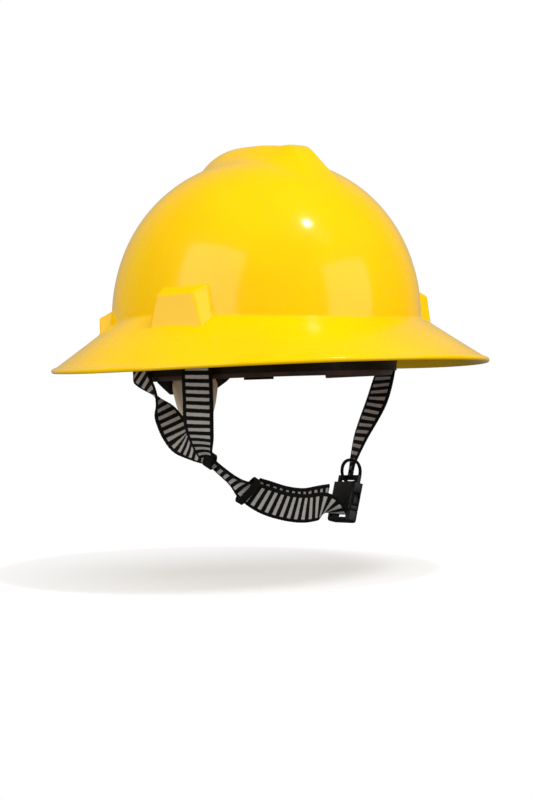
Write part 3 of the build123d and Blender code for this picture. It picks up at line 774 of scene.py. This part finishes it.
def make_sweatband():
    """The padded band: rounded edges, a soft swell between its two rows of stitching."""
    line = band_line(BAND_INSET)
    along = np.gradient(line, axis=0)
    along /= np.linalg.norm(along, axis=1)[:, None]
    inward = np.column_stack([along[:, 1], -along[:, 0]])
    run = run_along(line)
    share = np.linspace(-1, 1, BAND_ACROSS)
    around = 2 * BAND_ACROSS
    heights = BAND_MIDDLE + BAND_HALF_HEIGHT * share
    rounding = np.sqrt(np.clip(1 - np.abs(share) ** 9, 0.02, 1))
    seam = np.exp(-((np.abs(share) - 0.80) / 0.035) ** 2)
    verts, uv = [], []
    for k in range(len(line)):
        end = min(run[k], run[-1] - run[k])
        taper = min(1.0, 0.35 + end / 4)
        quilt = 0.12 * math.sin(run[k] * 2 * math.pi / 3.0) * seam
        inner = (1.25 + 1.1 * (1 - share**2) - 0.75 * seam + quilt) * rounding * taper
        outer = np.full_like(share, 1.3) * rounding * taper
        ring_in = np.column_stack([np.outer(inner, inward[k]) + line[k], heights])
        ring_out = np.column_stack([np.outer(-outer, inward[k]) + line[k], heights])[::-1]
        verts.append(np.vstack([ring_in, ring_out]))
        uv.append(np.column_stack([np.concatenate([heights, heights[::-1]]), np.full(around, run[k])]))
    faces = tube_faces(len(line), around)
    verts, uv = np.vstack(verts) * MM, np.vstack(uv)
    band = piece("sweatband_padded", verts, faces, "helmet", LEATHER, uv)
    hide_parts("sweatband")


def make_nape_pad():
    """The tongue-shaped nape pad, bent round the neck, with a stitched border."""
    share = np.linspace(-1, 1, PAD_ACROSS)
    rows = np.linspace(PAD_TOP, PAD_BOTTOM, 44)
    outline_z = np.array([-41.5, -38, -30, -20, -12, -5, 2, 10.0])
    outline_half = np.array([6.5, 11.6, 15.8, 18.6, 19.8, 18.0, 16.2, 15.4])
    verts = []
    for z in rows:
        half = float(curve_through(outline_z, outline_half, np.array(z)))
        end = min(9.9 - z, z + 41.6)
        edge = np.minimum((1 - np.abs(share)) * half, end)
        thick = 2.3 * np.sqrt(np.clip(1 - (1 - np.clip(edge / 2.4, 0, 1)) ** 2, 0.03, 1))
        thick = thick + 0.7 * step(edge, 3, 12) - 0.55 * np.exp(-((edge - 3.2) / 0.7) ** 2)
        turn = share * half / PAD_RADIUS
        for sign, line in ((1, turn), (-1, turn[::-1])):
            t = thick if sign > 0 else thick[::-1]
            lean = 0.0016 * (z - 10) ** 2 * -0.9
            radius = PAD_RADIUS + sign * t * (0.9 if sign > 0 else 1.05) + lean
            verts.append(np.column_stack([radius * np.sin(line), BAND_BACK + radius * np.cos(line),
                                          np.full(PAD_ACROSS, z)]))
    faces = tube_faces(len(rows), 2 * PAD_ACROSS)
    pad = piece("nape_pad_padded", np.vstack(verts) * MM, faces, "helmet", PAD)
    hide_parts("nape_pad")


# ---------------------------------------------------------------- hard parts
def dressed(node, material, edge):
    """A moulded piece made from a CAD part's own shape, with its sharp edges rounded."""
    source = NODES[node]
    mesh = source.data.copy()
    bm = bmesh.new()
    bm.from_mesh(mesh)
    bmesh.ops.remove_doubles(bm, verts=bm.verts, dist=2e-6)
    bmesh.ops.dissolve_limit(bm, angle_limit=math.radians(1.5), verts=bm.verts, edges=bm.edges)
    bm.to_mesh(mesh)
    bm.free()
    mesh.materials.clear()
    mesh.materials.append(material)
    obj = bpy.data.objects.new(f"{node}_moulded", mesh)
    bpy.context.scene.collection.objects.link(obj)
    bevel = obj.modifiers.new("edges", "BEVEL")
    bevel.width = edge * MM
    bevel.segments = 2
    bevel.limit_method = "ANGLE"
    bevel.angle_limit = math.radians(35)
    bevel.use_clamp_overlap = True
    apply_modifiers(obj)
    obj.data.shade_smooth()
    obj.data.set_sharp_from_angle(angle=math.radians(40))
    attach(obj, source["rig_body"])
    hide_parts(node)


SUSPENSION_PARTS = ("headband", "key_", "hook_", "anchor_", "ratchet_housing", "left_rack", "right_rack")


def make_hard_parts():
    """Every hard CAD part, with the radius of its rounded edges in millimetres."""
    for node in NODES:
        if node.startswith(SUSPENSION_PARTS):
            dressed(node, SUSPENSION, 0.35)
        elif node in ("ratchet_cover", "ratchet_knob", "detent_spring", "pinion"):
            dressed(node, RATCHET, 0.25)
        elif node.startswith("buckle_") and node != "buckle_strap_loop":
            dressed(node, BUCKLE, 0.45 if "prong" in node else 0.8)
        elif node == "knob_screw":
            dressed(node, STEEL, 0.15)


# ---------------------------------------------------------------- camera, light and floor
AZIMUTH = math.radians(VIEW_AZIMUTH)
AWAY = Vector((-math.sin(AZIMUTH), math.cos(AZIMUTH), 0))  # the way the camera looks
RIGHT = Vector((math.cos(AZIMUTH), math.sin(AZIMUTH), 0))


def make_camera():
    """The photographer's view: level, from the front and the wearer's right, with a slight roll."""
    scene = bpy.context.scene
    camera = bpy.data.objects.new("camera", bpy.data.cameras.new("camera"))
    scene.collection.objects.link(camera)
    camera.data.lens = VIEW_LENS
    camera.data.sensor_width = 36
    camera.location = Vector((0, 0, VIEW_HEIGHT)) - AWAY * VIEW_DISTANCE
    level = AWAY.to_track_quat("-Z", "Y").to_matrix()
    camera.rotation_euler = (level @ Matrix.Rotation(math.radians(VIEW_ROLL), 3, "Z")).to_euler()
    scene.camera = camera


def make_floor():
    """White paper that shows only the shadow."""
    bm = bmesh.new()
    bmesh.ops.create_grid(bm, x_segments=4, y_segments=4, size=FLOOR_HALF)
    mesh = bpy.data.meshes.new("floor")
    bm.to_mesh(mesh)
    bm.free()
    floor = bpy.data.objects.new("floor", mesh)
    floor.location = (0, 0, FLOOR_Z)
    bpy.context.scene.collection.objects.link(floor)
    paper, bsdf = shader("floor_paper", (1.0, 1.0, 1.0), 1.0, Specular_IOR_Level=0.0, Emission_Strength=0.17,
                         Emission_Color=(1, 1, 1, 1))
    # The paper fades into the white round it, and it is clear from below, so that the inside can be looked at
    side = add(paper, "ShaderNodeNewGeometry")
    centre = add(paper, "ShaderNodeVectorMath", operation="LENGTH")
    link(paper, side.outputs["Position"], centre.inputs[0])
    faded = ranged(paper, centre.outputs["Value"], 0.32, 0.62, 0.0, 1.0)
    gone = math_node(paper, "MAXIMUM", faded, side.outputs["Backfacing"])
    clear = add(paper, "ShaderNodeBsdfTransparent")
    both = add(paper, "ShaderNodeMixShader")
    link(paper, gone, both.inputs[0])
    link(paper, bsdf.outputs[0], both.inputs[1])
    link(paper, clear.outputs[0], both.inputs[2])
    link(paper, both.outputs[0], paper.node_tree.nodes["Material Output"].inputs["Surface"])
    floor.visible_diffuse = False
    floor.visible_glossy = False
    mesh.materials.append(paper)


def switched(world, chooser, when_off, when_on):
    """One of two values, chosen by a ray's kind."""
    node = add(world, "ShaderNodeMix")
    link(world, chooser, node.inputs[0])
    for socket, value in ((node.inputs[2], when_off), (node.inputs[3], when_on)):
        if isinstance(value, float):
            socket.default_value = value
        else:
            link(world, value, socket)
    return node.outputs[0]


def make_world():
    """White to the camera; light from the sides and above; in reflections, paper behind, dark in front."""
    scene = bpy.context.scene
    world = bpy.data.worlds.new("studio")
    world.use_nodes = True
    ray = add(world, "ShaderNodeLightPath")
    direction = add(world, "ShaderNodeTexCoord").outputs["Generated"]
    split = add(world, "ShaderNodeSeparateXYZ")
    link(world, direction, split.inputs[0])
    up = split.outputs["Z"]
    behind = add(world, "ShaderNodeVectorMath", operation="DOT_PRODUCT")
    link(world, direction, behind.inputs[0])
    behind.inputs[1].default_value = AWAY
    lit = ranged(world, up, -0.6, 0.5, 0.26, 0.70)
    mirrored = ranged(world, behind.outputs["Value"], 0.3, 1.0, 0.01, 0.35)
    mirrored = math_node(world, "MULTIPLY", mirrored, ranged(world, up, -0.4, 0.1, 0.1, 1.0))
    level = switched(world, ray.outputs["Is Glossy Ray"], lit, mirrored)
    background = world.node_tree.nodes["Background"]
    background.inputs["Color"].default_value = (1, 1, 1, 1)
    link(world, switched(world, ray.outputs["Is Camera Ray"], level, 1.0), background.inputs["Strength"])
    scene.world = world
    scene.view_settings.view_transform = "Standard"
    scene.view_settings.look = "None"


def lamp(name, width, height, across, up, towards, power):
    """A soft box placed from the camera's right, up and towards the camera, aimed at the crown."""
    light = bpy.data.lights.new(name, "AREA")
    light.shape = "RECTANGLE"
    light.size, light.size_y = width, height
    light.energy = power
    obj = bpy.data.objects.new(name, light)
    bpy.context.scene.collection.objects.link(obj)
    obj.location = RIGHT * across + Vector((0, 0, up)) - AWAY * towards
    obj.rotation_euler = (Vector((0, 0, 0.06)) - obj.location).to_track_quat("-Z", "Y").to_euler()
    return obj


def make_lamps():
    """Two soft boxes, a small spot for the highlight, and a lamp above that shows in no reflection."""
    lamp("soft_box_left", 1.2, 1.3, -1.25, 0.5, 0.8, 10.0)
    lamp("soft_box_right", 1.1, 1.1, 1.15, 0.35, 0.9, 7.0)
    lamp("key_spot", 0.12, 0.12, 0.44, 1.45, 0.67, 4.6)
    lamp("top_box", 0.3, 0.3, 0.75, 1.25, 0.8, 6.5).visible_glossy = False


make_camera()
make_floor()
make_world()
make_lamps()
make_shell()
make_straps()
crown_strap("crown_webbing_lower", "crown_strap_lower", 1, 104.0)
crown_strap("crown_webbing_upper", "crown_strap_upper", -1, 106.8)
make_loops()
make_sweatband()
make_nape_pad()
make_hard_parts()
